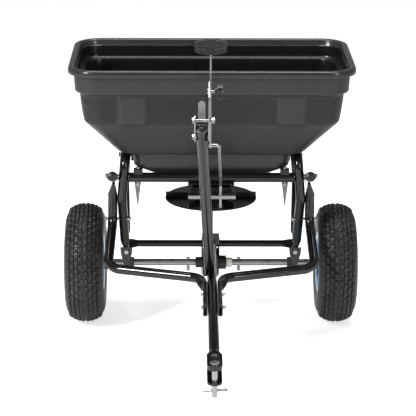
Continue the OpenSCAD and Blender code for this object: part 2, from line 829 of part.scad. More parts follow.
module frame_bolts() {
    color([0.75, 0.76, 0.78]) place() for (s = [-1, 1]) {
        translate([s*(hoop_x - tube_r - 6), hopper_y - 104, bar_z + 4]) rotate([0, s*90, 0]) {
            cylinder(r = 4, h = 66);
            translate([0, 0, 60]) cylinder(r = 7, h = 5, $fn = 6);
        }
        translate([s*(hoop_x - tube_r - 6), hopper_y + 104, bar_z + 4]) rotate([0, s*90, 0]) {
            cylinder(r = 4, h = 38);
            translate([0, 0, 32.5]) cylinder(r = 7, h = 5, $fn = 6);
        }
        side_bolt(s, hoop_x - tube_r - 4, rail_bolt_y, rail_bolt_z, 68, 62);
        bolt_x(s*(rail_x + 22), s*(hoop_x - tube_r - 8), crossing_y, crossing_z, 3.5);
        for (y = [foot_y1, foot_y2]) side_bolt(s, plate_in - 5, y, foot_z, 26, 17.5);
        translate([s*gusset_x, gusset_y + 1.5, gusset_bolt_z]) rotate([90, 0, 0]) {
            cylinder(r = 3, h = 8);
            translate([0, 0, 5.1]) cylinder(r = 6, h = 3.6, $fn = 6);
        }
    }
}

// ---------- drawbar and hitch ----------

module drawbar() {
    tongue_back = -hitch_reach + 62;
    tongue_z = hitch_z + hitch_gap/2 + 5.2;
    color([0.08, 0.08, 0.09]) place() difference() {
        union() {
            translate([0, -hitch_reach + 100, draw_z]) rotate([-90, 0, 0]) difference() {
                cylinder(r = tube_r, h = hitch_reach - 100 + draw_back);
                translate([0, 0, 6]) cylinder(r = tube_r - tube_wall, h = hitch_reach);
            }
            hull() {
                translate([0, -hitch_reach + 99.87, draw_z]) rotate([-90, 0, 0])
                    cylinder(r = tube_r - 0.1, h = 0.1, $fn = 32);
                translate([0, tongue_back + 0.53, tongue_z + 3]) rotate([-90, 0, 0])
                    linear_extrude(0.1) round_rect(35.6, 5.6, 2.7, $fn = 24);
            }
            translate([0, -hitch_reach + 98, draw_z]) rotate([-90, 0, 0])
                cylinder(r = tube_r - 0.9, h = 4);
            translate([0, tongue_back, tongue_z + 3]) cube([28, 5, 3.4], center = true);
            translate([0, 0, tongue_z]) linear_extrude(6) union() {
                translate([-tongue_r, -hitch_reach]) square([2*tongue_r, 62.5]);
                translate([0, -hitch_reach]) circle(r = tongue_r);
            }
        }
        translate([0, -hitch_reach, 200]) cylinder(r = hitch_hole_d/2, h = 80);
        for (y = [bolt_y1, bolt_y2]) bolt_hole_x(0, y, draw_z);
        translate([0, -hitch_reach + 44, 200]) cylinder(r = 4.3, h = 80);
        translate([0, draw_back - 22, 200]) cylinder(r = 4.3, h = 80);
    }
}

module hitch_clevis() {
    t = 5;
    color([0.08, 0.08, 0.09]) place() difference() {
        union() {
            for (z = [hitch_z + hitch_gap/2, hitch_z - hitch_gap/2 - t])
                translate([0, 0, z]) linear_extrude(t) union() {
                    translate([-17.5, -hitch_reach]) square([35, 56]);
                    translate([0, -hitch_reach]) circle(r = 17.5);
                }
            translate([0, -hitch_reach + 56, hitch_z]) rotate([90, 0, 90])
                linear_extrude(35, center = true) difference() {
                    circle(r = hitch_gap/2 + t);
                    circle(r = hitch_gap/2);
                    translate([-60, -40]) square([60, 80]);
                }
        }
        translate([0, -hitch_reach, 150]) cylinder(r = hitch_hole_d/2, h = 120);
        translate([0, -hitch_reach + 44, 225]) cylinder(r = 4.3, h = 40);
    }
}

pin_d = 12.7;

module hitch_pin() {
    top = hitch_z + hitch_gap/2 + 11.6;
    color([0.75, 0.76, 0.78]) place() translate([0, -hitch_reach, 0]) difference() {
        union() {
            translate([0, 0, 168]) cylinder(r = pin_d/2, h = top - 168);
            translate([0, 0, top]) cylinder(r = 10.5, h = 5);
        }
        translate([0, 0, 182]) rotate([0, 90, 8]) cylinder(r = 1.7, h = 40, center = true);
    }
}

module hitch_pin_clip() {
    color([0.75, 0.76, 0.78]) place() translate([0, -hitch_reach, 182]) rotate([0, 0, 8]) {
        rotate([0, 90, 0]) cylinder(r = 1.6, h = 54, center = true);
        bent([[27, 0, 0], [31, 4, 0], [27, 8.6, 0], [8, 8.6, 0], [-8, 10, 0]], 3, 1.6);
    }
}

module hitch_bolts() {
    x = tube_r + flat_w + 0.7;
    color([0.75, 0.76, 0.78]) place() {
        for (y = [bolt_y1, bolt_y2]) bolt_x(-x - 1.2*3.7, x + 2.2*3.7, y, draw_z, 3.7);
        bolt_z(0, -hitch_reach + 44, hitch_z + 5.4, hitch_z + hitch_gap/2 + 16.3, 4);
        translate([0, draw_back - 22, draw_z - 22]) {
            cylinder(r = 4, h = 45);
            cylinder(r = 7, h = 5, $fn = 6);
            translate([0, 0, 39]) cylinder(r = 7, h = 5, $fn = 6);
        }
    }
}

// ---------- flow control ----------

function ctl_dir() = unit([-tan(ctl_side), -cos(control_lean), sin(control_lean)]);
function ctl_point(t) = [-5, foot_y, 252] + ctl_dir()*t;

clamp_at = tube_len - 26;      // where the bracket's cross bolt goes through the tube
plate_x = -13.9;               // left face of the bracket's slotted side
ear_x = -47.1;                 // left face of its other side
web_y = -613.5;                // front face of its web

module control_tube() {
    p = ctl_point(clamp_at);
    color([0.08, 0.08, 0.09]) place() difference() {
        bent([ctl_point(0), ctl_point(tube_len)], 20, ctl_r, tube_wall);
        translate([0, -700, draw_z]) rotate([-90, 0, 0]) cylinder(r = tube_r + 0.2, h = 600);
        bolt_hole_x(p[0], p[1], p[2], 3.6);
    }
}

// Both sides of the bracket, as seen from the right.
module bracket_side(h) {
    p = ctl_point(clamp_at);
    rotate([90, 0, 90]) linear_extrude(h) hull() {
        translate([pivot_y, pivot_z]) circle(r = 13, $fn = 40);
        translate([p[1], p[2]]) circle(r = 12, $fn = 32);
        translate([web_y - 7, pivot_z - 34]) circle(r = 9.5, $fn = 32);
    }
}

// Folded bracket: two sides about the tube's end, a web behind the tube with an
// upright tab, and the arc slot of the stop.
module control_bracket() {
    p = ctl_point(clamp_at);
    color([0.7, 0.71, 0.73]) place() difference() {
        union() {
            translate([plate_x, 0, 0]) bracket_side(2.5);
            translate([ear_x, 0, 0]) bracket_side(2.5);
            translate([plate_x, 0, 0]) rotate([90, 0, 90]) linear_extrude(2.5) hull() {
                translate([pivot_y, pivot_z]) circle(r = 13, $fn = 40);
                for (a = [14, 46]) translate([pivot_y - stop_r*sin(a), pivot_z + stop_r*cos(a)])
                    circle(r = 11, $fn = 32);
            }
            translate([ear_x, web_y, pivot_z - 40]) cube([plate_x - ear_x + 1, 2.3, 12]);
            translate([-38, web_y, pivot_z - 30]) cube([17, 2.3, 63]);
            translate([-29.5, web_y + 2.3, pivot_z + 33]) rotate([90, 0, 0])
                cylinder(r = 8.5, h = 2.3);
        }
        bolt_hole_x(-20, pivot_y, pivot_z, 4);
        translate([plate_x - 1, pivot_y, pivot_z]) rotate([90, 0, 90]) rotate([0, 0, 90 + 24])
            rotate_extrude(angle = 20) translate([stop_r - 3.4, 0]) square([6.8, 6]);
        bolt_hole_x(p[0], p[1], p[2], 3.6);
    }
}

module control_bolts() {
    p = ctl_point(clamp_at);
    color([0.8, 0.81, 0.83]) place() {
        // the clamp bolt ends flush, so that the lever swings past it
        translate([ear_x - 5, p[1], p[2]]) rotate([0, 90, 0]) {
            cylinder(r = 3.3, h = plate_x + 2.4 - ear_x + 5);
            cylinder(r = 6.2, h = 4.7, $fn = 6);
        }
        translate([ear_x - 5, pivot_y, pivot_z]) rotate([0, 90, 0]) {
            cylinder(r = 4, h = 54);
            cylinder(r = 7, h = 4.7, $fn = 6);
            translate([0, 0, 46]) cylinder(r = 7.4, h = 6.6, $fn = 6);
        }
    }
}

lever_x = plate_x + 2.8;
lever_t = 4;

module control_lever() {
    color([0.78, 0.79, 0.81]) place() difference() {
        translate([lever_x, 0, 0]) rotate([90, 0, 90]) linear_extrude(lever_t) union() {
            translate([pivot_y, pivot_z]) circle(r = 11);
            translate([pivot_y - 7, pivot_z - lever_down]) square([14, lever_down + 80]);
            translate([pivot_y, pivot_z - lever_down]) circle(r = 7);
            translate([pivot_y - 3.5, pivot_z]) square([7, lever_up + 4]);
        }
        translate([lever_x - 1, pivot_y, pivot_z]) rotate([0, 90, 0])
            cylinder(r = 4 + run_gap, h = 8);
        translate([lever_x - 1, pivot_y, pivot_z - lever_down]) rotate([0, 90, 0])
            cylinder(r = 4 + run_gap, h = 8);
    }
}

// Hexagonal cross grip with finger slots.
module lever_grip() {
    gz = pivot_z + lever_up;
    color([0.05, 0.05, 0.05]) place() translate([lever_x + lever_t/2, pivot_y, gz]) difference() {
        rotate([90, 0, 0]) linear_extrude(17, center = true)
            polygon([[-37, -11], [-37, 11], [-22, 15], [-5, 18], [5, 18], [22, 15], [37, 11],
                [37, -11], [22, -15], [5, -18], [-5, -18], [-22, -15]]);
        for (s = [-1, 1], z = [-6, 0, 6]) translate([s*22, 0, z])
            cube([22, 30, 2.6], center = true);
        translate([0, 0, -7.5]) cube([lever_t + 0.1, 7.1, 23.2], center = true);
    }
}

module stop_bolt() {
    y = pivot_y - stop_r*sin(stop_a);
    z = pivot_z + stop_r*cos(stop_a);
    color([0.78, 0.79, 0.81]) place() translate([plate_x, y, z]) rotate([0, 90, 0]) {
        translate([0, 0, -3.6]) cylinder(r = 6.5, h = 3.4);
        translate([0, 0, -1]) cylinder(r = 3.2, h = 34);
        translate([0, 0, 2.7]) cylinder(r = 6, h = 1.8);
    }
}

// Three-lobed wing knob.
module stop_knob() {
    y = pivot_y - stop_r*sin(stop_a);
    z = pivot_z + stop_r*cos(stop_a);
    color([0.05, 0.05, 0.05]) place() translate([plate_x + 14, y, z]) rotate([0, 90, 0])
        difference() {
            union() {
                cylinder(r = 8, h = 18);
                for (a = [0:120:359]) rotate([0, 0, a]) {
                    translate([14, 0, 6]) cylinder(r = 7, h = 12);
                    translate([0, -6.2, 6]) cube([14, 12.4, 12]);
                }
            }
            translate([0, 0, -1]) cylinder(r = 3.2 + run_gap, h = 24);
        }
}

module link_rod() {
    y0 = pivot_y;
    z0 = pivot_z - lever_down;
    color([0.78, 0.79, 0.81]) place()
        bent([[lever_x - 2.5, y0, z0], [12, y0, z0], [link_x, link_y, 436],
            [link_x, link_y, 372]], 9, 4);
}

module link_clip() {
    color([0.78, 0.79, 0.81]) place() difference() {
        translate([link_x, link_y, gate_z + 4]) cylinder(r = 7.4, h = 2);
        translate([link_x, link_y, gate_z]) cylinder(r = 4.02, h = 20);
    }
}

hopper();
hopper_base_plate();
gate_guide();
gate_rails();
slide_gate();
hopper_bushing();
impeller();
impeller_shaft();
agitator();
pinion_gear();
shaft_support_block();
gearbox_left_half();
gearbox_right_half();
drive_gear();
axle_collar();
gearbox_strap();
axle();
axle_pins();
axle_washers();
axle_bearings();
axle_plates();
hoop_left();
hoop_right();
side_rail_left();
side_rail_right();
tube_caps();
front_crossbar();
rear_crossbar();
lower_crossbar();
frame_tube_left();
frame_tube_right();
hopper_straps();
hopper_mounts();
hopper_bolts();
frame_bolts();
hitch_bolts();
drawbar();
hitch_clevis();
hitch_pin();
hitch_pin_clip();
control_tube();
control_bracket();
control_bolts();
control_lever();
lever_grip();
stop_bolt();
stop_knob();
link_rod();
link_clip();
tyre_left();
tyre_right();
rim_left_inner();
rim_left_outer();
rim_right_inner();
rim_right_outer();
hub_left();
hub_right();
valve_left();
valve_right();
wheel_drive_pin();
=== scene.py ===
"""Looks of the tow-behind broadcast spreader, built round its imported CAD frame.

Lengths in the tables below are millimetres and the scene is in metres. Positions
come from the boxes of the CAD nodes.
"""

import json
import math

import bpy
from mathutils import Matrix, Vector


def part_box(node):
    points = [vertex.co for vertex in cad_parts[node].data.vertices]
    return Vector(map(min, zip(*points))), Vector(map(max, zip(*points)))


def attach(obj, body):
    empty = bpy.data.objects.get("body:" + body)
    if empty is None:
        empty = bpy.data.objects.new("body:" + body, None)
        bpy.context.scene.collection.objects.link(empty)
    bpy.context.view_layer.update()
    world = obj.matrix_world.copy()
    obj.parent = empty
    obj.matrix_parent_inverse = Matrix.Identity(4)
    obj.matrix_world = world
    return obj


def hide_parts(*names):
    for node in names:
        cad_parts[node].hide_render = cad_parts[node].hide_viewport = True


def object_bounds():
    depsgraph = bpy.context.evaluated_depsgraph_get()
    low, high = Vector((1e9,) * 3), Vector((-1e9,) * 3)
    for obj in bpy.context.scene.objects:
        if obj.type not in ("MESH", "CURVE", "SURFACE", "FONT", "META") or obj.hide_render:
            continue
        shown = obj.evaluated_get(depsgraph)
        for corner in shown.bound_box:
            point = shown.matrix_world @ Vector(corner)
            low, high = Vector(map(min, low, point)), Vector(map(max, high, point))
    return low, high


MM = 0.001
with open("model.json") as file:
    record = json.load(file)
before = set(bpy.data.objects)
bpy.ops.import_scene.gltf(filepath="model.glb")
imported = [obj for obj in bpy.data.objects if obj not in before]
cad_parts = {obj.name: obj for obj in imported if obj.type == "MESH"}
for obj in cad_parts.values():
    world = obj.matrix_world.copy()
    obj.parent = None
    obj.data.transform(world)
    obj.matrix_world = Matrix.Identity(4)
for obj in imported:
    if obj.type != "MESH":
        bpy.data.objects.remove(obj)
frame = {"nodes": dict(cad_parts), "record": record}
cad_low, cad_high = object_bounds()
NODES = frame["nodes"]


# ---------- materials ----------


class Surface:
    """A node-based finish: colour mottling, uneven roughness, grain and lightened edges, which are
    wear on most finishes and partly painted highlight on some.
    """

    def __init__(self, name, colour, roughness, metallic=0.0, coat=0.0):
        self.material = bpy.data.materials.new(name)
        self.material.use_nodes = True
        self.tree = self.material.node_tree
        self.shader = self.tree.nodes["Principled BSDF"]
        self.shader.inputs["Roughness"].default_value = sum(roughness) / 2
        self.shader.inputs["Metallic"].default_value = metallic
        self.shader.inputs["Coat Weight"].default_value = coat
        self.shader.inputs["Coat Roughness"].default_value = 0.08
        self.where = self.add("ShaderNodeTexCoord").outputs["Object"]
        self.colour = self.add("ShaderNodeRGB").outputs[0]
        self.colour.default_value = (*colour, 1)
        self.connect(self.colour, self.shader.inputs["Base Color"])
        self.normal = None
        uneven = self.noise(35, 5)
        spread = self.add("ShaderNodeMapRange")
        spread.inputs["From Min"].default_value = 0.3
        spread.inputs["From Max"].default_value = 0.7
        spread.inputs["To Min"].default_value = roughness[0]
        spread.inputs["To Max"].default_value = roughness[1]
        self.connect(uneven, spread.inputs["Value"])
        self.roughness = spread.outputs["Result"]
        self.connect(self.roughness, self.shader.inputs["Roughness"])

    def add(self, kind):
        return self.tree.nodes.new(kind)

    def connect(self, output, socket):
        self.tree.links.new(output, socket)

    def noise(self, scale, detail=3, stretch=None):
        place = self.where
        if stretch:
            mapping = self.add("ShaderNodeMapping")
            mapping.inputs["Scale"].default_value = stretch
            self.connect(place, mapping.inputs["Vector"])
            place = mapping.outputs["Vector"]
        texture = self.add("ShaderNodeTexNoise")
        texture.inputs["Scale"].default_value = scale
        texture.inputs["Detail"].default_value = detail
        self.connect(place, texture.inputs["Vector"])
        return texture.outputs["Fac"]

    def cells(self, scale):
        texture = self.add("ShaderNodeTexVoronoi")
        texture.inputs["Scale"].default_value = scale
        self.connect(self.where, texture.inputs["Vector"])
        return texture.outputs["Color"]

    def bump(self, height, distance, strength=1.0):
        """Adds relief of about distance millimetres on top of what is there."""
        node = self.add("ShaderNodeBump")
        node.inputs["Strength"].default_value = strength
        node.inputs["Distance"].default_value = distance * MM
        self.connect(height, node.inputs["Height"])
        if self.normal:
            self.connect(self.normal, node.inputs["Normal"])
        self.normal = node.outputs["Normal"]
        self.connect(self.normal, self.shader.inputs["Normal"])
        return self

    def tint(self, mask, colour, low, high):
        """Mixes colour in where mask runs from low to high."""
        ramp = self.add("ShaderNodeMapRange")
        ramp.inputs["From Min"].default_value = low
        ramp.inputs["From Max"].default_value = high
        self.connect(mask, ramp.inputs["Value"])
        mix = self.add("ShaderNodeMix")
        mix.data_type = "RGBA"
        self.connect(ramp.outputs["Result"], mix.inputs["Factor"])
        self.connect(self.colour, mix.inputs["A"])
        mix.inputs["B"].default_value = (*colour, 1)
        self.colour = mix.outputs["Result"]
        self.connect(self.colour, self.shader.inputs["Base Color"])
        return self

    def worn_and_highlit_edges(self, colour, radius):
        """Lightened edges where a bevel of radius millimetres would turn the normal: rubbed paint
        on most finishes, and partly painted highlight on the grip and the tyre lugs.
        """
        bevel = self.add("ShaderNodeBevel")
        bevel.samples = 4
        bevel.inputs["Radius"].default_value = radius * MM
        true = self.add("ShaderNodeNewGeometry").outputs["Normal"]
        compare = self.add("ShaderNodeVectorMath")
        compare.operation = "DOT_PRODUCT"
        self.connect(bevel.outputs["Normal"], compare.inputs[0])
        self.connect(true, compare.inputs[1])
        broken = self.add("ShaderNodeMath")
        broken.operation = "ADD"
        self.connect(compare.outputs["Value"], broken.inputs[0])
        patch = self.add("ShaderNodeMath")
        patch.operation = "MULTIPLY"
        patch.inputs[1].default_value = 0.25
        self.connect(self.noise(160, 4), patch.inputs[0])
        self.connect(patch.outputs[0], broken.inputs[1])
        return self.tint(broken.outputs[0], colour, 1.0, 0.86)


def powder_coat():
    paint = Surface("black_powder_coat", (0.004, 0.004, 0.0045), (0.1, 0.18), coat=0.1)
    paint.tint(paint.noise(14, 6), (0.008, 0.008, 0.009), 0.45, 0.75)
    paint.bump(paint.noise(300, 2), 0.03, 0.35)
    paint.bump(paint.noise(2600, 1), 0.008, 0.35)
    return paint.worn_and_highlit_edges((0.022, 0.022, 0.024), 0.6).material


def hopper_plastic(name, colour, rough, grain):
    plastic = Surface(name, colour, rough)
    lighter = tuple(c * 1.35 for c in colour)
    plastic.tint(plastic.noise(5, 6), lighter, 0.35, 0.85)
    plastic.bump(plastic.noise(1500, 2), 0.05, grain)
    plastic.bump(plastic.noise(6, 2), 0.8, 0.06)
    painted_panel_shade = plastic.add("ShaderNodeAttribute")
    painted_panel_shade.attribute_name = "painted_panel_shade"
    # painted shade: the recessed panels are darkened to 0.3 of the body colour to stand in for the
    # shade they lie in
    plastic.tint(painted_panel_shade.outputs["Fac"], tuple(c * 0.3 for c in colour), 0.0, 1.0)
    scuffs = plastic.noise(26, 8, (1, 1, 9))
    plastic.tint(scuffs, tuple(c * 1.8 for c in colour), 0.66, 0.9)
    return plastic.worn_and_highlit_edges(tuple(c * 1.9 for c in colour), 0.9).material


def black_plastic(name, edge, radius):
    plastic = Surface(name, (0.008, 0.008, 0.009), (0.3, 0.48))
    plastic.tint(plastic.noise(22, 5), (0.014, 0.014, 0.015), 0.45, 0.75)
    plastic.bump(plastic.noise(1900, 2), 0.04, 0.6)
    return plastic.worn_and_highlit_edges(edge, radius).material


def zinc():
    metal = Surface("zinc_plate", (0.4, 0.41, 0.42), (0.24, 0.44), metallic=1.0)
    metal.tint(metal.cells(420), (0.34, 0.345, 0.355), 0.3, 0.95)
    metal.tint(metal.noise(60, 6), (0.22, 0.215, 0.2), 0.6, 0.85)
    metal.bump(metal.noise(700, 3, (0.15, 1, 1)), 0.03, 0.5)
    return metal.material


def gear_steel():
    metal = Surface("gear_steel", (0.28, 0.28, 0.27), (0.35, 0.55), metallic=1.0)
    metal.tint(metal.noise(50, 5), (0.12, 0.11, 0.1), 0.5, 0.8)
    metal.bump(metal.noise(1100, 2), 0.05, 0.6)
    return metal.material


def grey_steel():
    metal = Surface("grey_coated_steel", (0.2, 0.2, 0.21), (0.3, 0.5), metallic=0.6)
    metal.tint(metal.noise(45, 6), (0.1, 0.1, 0.11), 0.5, 0.8)
    metal.bump(metal.noise(900, 2), 0.03, 0.6)
    return metal.worn_and_highlit_edges((0.45, 0.45, 0.46), 0.5).material


def nylon():
    plastic = Surface("natural_nylon", (0.72, 0.71, 0.67), (0.35, 0.5))
    plastic.shader.inputs["Subsurface Weight"].default_value = 0.15
    plastic.shader.inputs["Subsurface Radius"].default_value = (0.003, 0.003, 0.002)
    plastic.tint(plastic.noise(70, 5), (0.5, 0.48, 0.42), 0.55, 0.85)
    plastic.bump(plastic.noise(900, 2), 0.04, 0.5)
    return plastic.material


def blue_enamel():
    paint = Surface("light_blue_enamel", (0.16, 0.42, 0.72), (0.16, 0.3), coat=0.7)
    paint.tint(paint.noise(18, 5), (0.12, 0.35, 0.62), 0.45, 0.75)
    paint.bump(paint.noise(520, 2), 0.04, 0.5)
    return paint.worn_and_highlit_edges((0.45, 0.6, 0.75), 0.6).material


def tyre_rubber():
    rubber = Surface("tyre_rubber", (0.013, 0.013, 0.0135), (0.32, 0.5))
    rubber.tint(rubber.noise(30, 6), (0.034, 0.033, 0.032), 0.45, 0.8)
    rubber.bump(rubber.noise(1100, 3), 0.08, 0.7)
    rubber.bump(rubber.noise(90, 2), 0.2, 0.3)
    # partly rubbed rubber and partly painted highlight: the lug edges are lightened to stand in for
    # bright highlights on the tread
    return rubber.worn_and_highlit_edges((0.09, 0.09, 0.09), 1.2).material


MATERIALS = {
    "hopper_plastic": hopper_plastic("hopper_outside", (0.019, 0.0192, 0.0205), (0.36, 0.48), 0.55),
    "black_paint": powder_coat(),
    "black_plastic": black_plastic("black_plastic", (0.035, 0.035, 0.038), 0.5),
    "zinc": zinc(),
    "gear_steel": gear_steel(),
    "nylon": nylon(),
    "tyre": tyre_rubber(),
    "blue_rim": blue_enamel(),
    "grey_steel": grey_steel(),
}
# painted shade: the inside is the same plastic as the outside at about a third of its colour,
# standing in for the shade inside the hopper; its smoother gloss is its own finish
SHADED_INSIDE = hopper_plastic("hopper_inside_painted_shade", (0.006, 0.0062, 0.0068), (0.19, 0.27), 0.15)
LIP_FACE = hopper_plastic("hopper_lip_plastic", (0.02, 0.0204, 0.0215), (0.2, 0.28), 0.15)
# partly rubbed plastic and partly painted highlight: the grip's edges are lightened to grey to
# stand in for bright edge highlights
GRIP_LIT_EDGES = black_plastic("grip_rubbed_and_highlit_edges", (0.3, 0.3, 0.31), 1.1)


def paint_frame():
    """Each CAD node takes its record's material, and the grip and stop knob take the grip plastic.
    """
    for part in frame["record"]["subparts"]:
        piece = NODES[part["node"]]
        piece.data.materials.clear()
        piece.data.materials.append(MATERIALS[part["material_slot"]])
    # the grip and stop knob take the grip plastic, whose lightened edges carry painted highlight
    for name in ("lever_grip", "stop_knob"):
        NODES[name].data.materials[0] = GRIP_LIT_EDGES


SOFT_EDGES = {
    "lever_grip": 1.2, "stop_knob": 1.4, "hitch_clevis": 0.8, "control_lever": 0.5,
    "control_bracket": 0.5, "slide_gate": 0.4, "hopper_base_plate": 0.6,
    "gate_guide": 1.0, "gate_rails": 0.8, "impeller": 0.5, "axle_plates": 0.5,
    "axle_bearings": 0.8, "gearbox_left_half": 0.9, "gearbox_right_half": 0.9,
    "axle_collar": 0.6, "shaft_support_block": 1.2, "hopper_straps": 0.4,
    "hopper_mounts": 0.8, "gearbox_strap": 0.4, "hopper_bolts": 0.4,
    "frame_bolts": 0.4, "hitch_bolts": 0.4, "control_bolts": 0.4, "hub_left": 0.5,
    "hub_right": 0.5, "rim_left_inner": 0.5, "rim_left_outer": 0.5,
    "rim_right_inner": 0.5, "rim_right_outer": 0.5, "axle_washers": 0.3,
    "drawbar": 0.6, "tube_caps": 0.6,
}


def soften(name, width):
    bevel = NODES[name].modifiers.new("soft_edges", "BEVEL")
    bevel.width = width * MM
    bevel.segments = 3
    bevel.limit_method = "ANGLE"
    bevel.angle_limit = math.radians(38)
    bevel.harden_normals = True


# ---------- mesh helpers ----------


def mesh_object(name, points, faces, material, sharp=32):
    """A smooth-shaded mesh from points in millimetres, with edges over sharp degrees kept."""
    mesh = bpy.data.meshes.new(name)
    mesh.from_pydata([Vector(p) * MM for p in points], [], faces)
    mesh.validate()
    for polygon in mesh.polygons:
        polygon.use_smooth = True
    mesh.set_sharp_from_angle(angle=math.radians(sharp))
    mesh.materials.append(material)
    piece = bpy.data.objects.new(name, mesh)
    bpy.context.scene.collection.objects.link(piece)
    return piece


def loop_faces(rings, columns, closed):
    """Quads between rings of the same number of points; closed joins the last to the first."""
    faces = []
    for i in range(rings if closed else rings - 1):
        j = (i + 1) % rings
        for k in range(columns):
            m = (k + 1) % columns
            faces.append((i * columns + k, j * columns + k, j * columns + m, i * columns + m))
    return faces


def smooth_step(t):
    t = max(0.0, min(1.0, t))
    return t * t * (3 - 2 * t)


# ---------- hopper ----------

CORNER, LONG, SHORT = 12, 96, 44
hopper_low, hopper_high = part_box("hopper")
HOPPER_X = (hopper_low.x + hopper_high.x) / 2 / MM
HOPPER_Y = (hopper_low.y + hopper_high.y) / 2 / MM
RIM_Z = hopper_high.z / MM
FLOOR_Z = hopper_low.z / MM
WALL = 4.0
LIP_RINGS = 11              # profile rows that take the lip's own smoother plastic
LIP = 14.5                  # how far the rolled lip stands out from the wall
RIB_IN, RIB_OUT = 170, 246  # the proud bands between the recessed panels
FLANK = 4.0                 # width of a rib's sloping side
BODY_W = (hopper_high.x - hopper_low.x) / MM / 2 - LIP
BODY_D = (hopper_high.y - hopper_low.y) / MM / 2 - LIP


def rib_share(x, y, facing_x):
    """1 on the proud ribs, 0 on the panels between them, with narrow flanks."""
    if facing_x:
        return smooth_step((46 - abs(y)) / FLANK)
    inner, outer = (abs(x) - RIB_IN) / FLANK, (RIB_OUT - abs(x)) / FLANK
    return smooth_step(inner) * smooth_step(outer)


def panel_share(x, y):
    """How far a point of the panelled wall lies in a recessed panel, which sets how much painted
    shade darkens it.
    """
    x, y = x - HOPPER_X, y - HOPPER_Y
    return 1.0 - rib_share(x, y, BODY_W - abs(x) < BODY_D - abs(y))


def hopper_ring(half_w, half_d, radius, z, proud):
    points = []
    corners = ((1, 1, 0, LONG), (-1, 1, 90, SHORT), (-1, -1, 180, LONG), (1, -1, 270, SHORT))
    for sign_x, sign_y, start, steps in corners:
        centre = Vector((sign_x * (half_w - radius), sign_y * (half_d - radius)))
        for i in range(CORNER):
            angle = math.radians(start + 90 * i / CORNER)
            out = Vector((math.cos(angle), math.sin(angle)))
            points.append((centre + out * radius, z))
        angle = math.radians(start + 90)
        out = Vector((math.cos(angle), math.sin(angle)))
        run = 2 * ((half_w if steps == LONG else half_d) - radius)
        ahead = Vector((-out.y, out.x))
        for i in range(steps):
            here = centre + out * radius + ahead * run * i / steps
            points.append((here + out * proud * rib_share(here.x, here.y, steps == SHORT), z))
    return [(p.x + HOPPER_X, p.y + HOPPER_Y, z) for p, z in points]


def hopper_profile():
    """(half width, half depth, corner radius, height, rib height) round the section."""
    w, d = BODY_W, BODY_D
    lip = [(-4.0, -17), (-3.6, -6), (-2.2, -2.4), (0.6, -0.5), (4, 0), (8.5, -0.3),
           (11.8, -1.8), (13.8, -4.4), (14.5, -8), (14.5, -16.5), (13.9, -17.8),
           (12.4, -18), (11.4, -17), (11.2, -8), (9.5, -4.6), (3.5, -4.2), (0.6, -6)]
    ring = [(w + a, d + a, 60 + a, RIM_Z + z, 0) for a, z in lip]
    # outer wall: band, rounded step, panels, crease, funnel, bowl and floor
    ring += [(w - 0.5, d - 0.3, 59.5, RIM_Z - 20, 0), (w - 3, d - 1.8, 58.4, 697, 0),
             (w - 3.6, d - 2.2, 58, 693.5, 0), (w - 5.2, d - 3.2, 57.4, 691.4, 0),
             (w - 9.6, d - 5.2, 56.6, 690, 0), (w - 11.8, d - 6.6, 56.2, 688.3, 0),
             (w - 14.6, d - 10.6, 56, 687, 4.6), (w - 15.4, d - 11.6, 56, 684.5, 6.2),
             (w - 16, d - 12, 55.8, 677, 6.6), (w - 16.6, d - 12.3, 55.6, 670, 6.6),
             (w - 20.4, d - 13.4, 54, 640, 6.6), (w - 23.4, d - 14, 53, 622, 6.6),
             (w - 24.6, d - 14.4, 52.4, 616, 6.4), (w - 25.2, d - 14.6, 52, 612.5, 5.6),
             (w - 26.4, d - 15, 52, 609.4, 2.8), (w - 28.6, d - 16.4, 51.6, 606, 0),
             (w - 42, d - 24, 50, 592, 0), (w - 78, d - 48.5, 46, 553, 0),
             (w - 110, d - 70.5, 41, 517.5, 0), (w - 116, d - 74.5, 40, 513, 0),
             (w - 122, d - 77.5, 39, 512, 0), (w - 144, d - 86, 37, 511.4, 0),
             (w - 149, d - 88.6, 36.4, 509.6, 0), (w - 150.6, d - 89.4, 36, 505, 0),
             (w - 152, d - 92, 36, 486, 0), (w - 153.5, d - 93.4, 36, 474, 0),
             (w - 155.5, d - 94.8, 35.6, 470, 0), (w - 161, d - 96, 35, 466.4, 0),
             (w - 200, d - 106.5, 32.5, 449, 0), (w - 243, d - 117.6, 30.4, 432.4, 0),
             (w - 248, d - 119.6, 30, 430.3, 0), (w - 252, d - 122, 29, 430, 0)]
    ring += [(46, 51, 6, FLOOR_Z, 0), (45, 50, 5, FLOOR_Z + 0.6, 0),
             (45, 50, 5, FLOOR_Z + 3.6, 0), (46, 51, 6, FLOOR_Z + 4.2, 0)]
    # inside wall, back up to the lip
    t = WALL
    ring += [(w - 256, d - 125, 26, 434.2, 0), (w - 249, d - 122, 26.5, 436.6, 0),
             (w - 203, d - 110, 29, 453.4, 0), (w - 165, d - 100, 31.5, 470.6, 0),
             (w - 158.6, d - 98, 32, 476, 0), (w - 156, d - 96, 32, 490, 0),
             (w - 154.8, d - 93.6, 32, 508, 0), (w - 152, d - 91.8, 33, 513.6, 0),
             (w - 146, d - 88.6, 34, 515.8, 0), (w - 124, d - 80, 36, 516.6, 0),
             (w - 118, d - 77, 37, 518, 0), (w - 82, d - 52.4, 42, 557.6, 0),
             (w - 46, d - 28, 46, 596.6, 0), (w - 32.4, d - 18.4, 48, 610, 0),
             (w - 30, d - 16.8, 48.4, 614, 0), (w - 25.4, d - 18.2, 50, 641, 0),
             (w - 20.8, d - 17.4, 50, 682, 0), (w - 19.6, d - 17, 50.2, 703, 0),
             (w - 18.8, d - 16.2, 50.6, 706, 0), (w - 17, d - 14.6, 51.4, 707.2, 0),
             (w - 9.4, d - 8.6, 54, 708, 0), (w - 7.6, d - 7.2, 54.6, 709.4, 0),
             (w - 7, d - 6.8, 54.8, 713, 0), (w - t - 2, d - t - 2, 55.6, 738, 0),
             (w - t - 1.8, d - t - 1.8, 55.8, 739.6, 0), (w - t - 0.3, d - t - 0.3, 56, 740.6, 0)]
    return ring


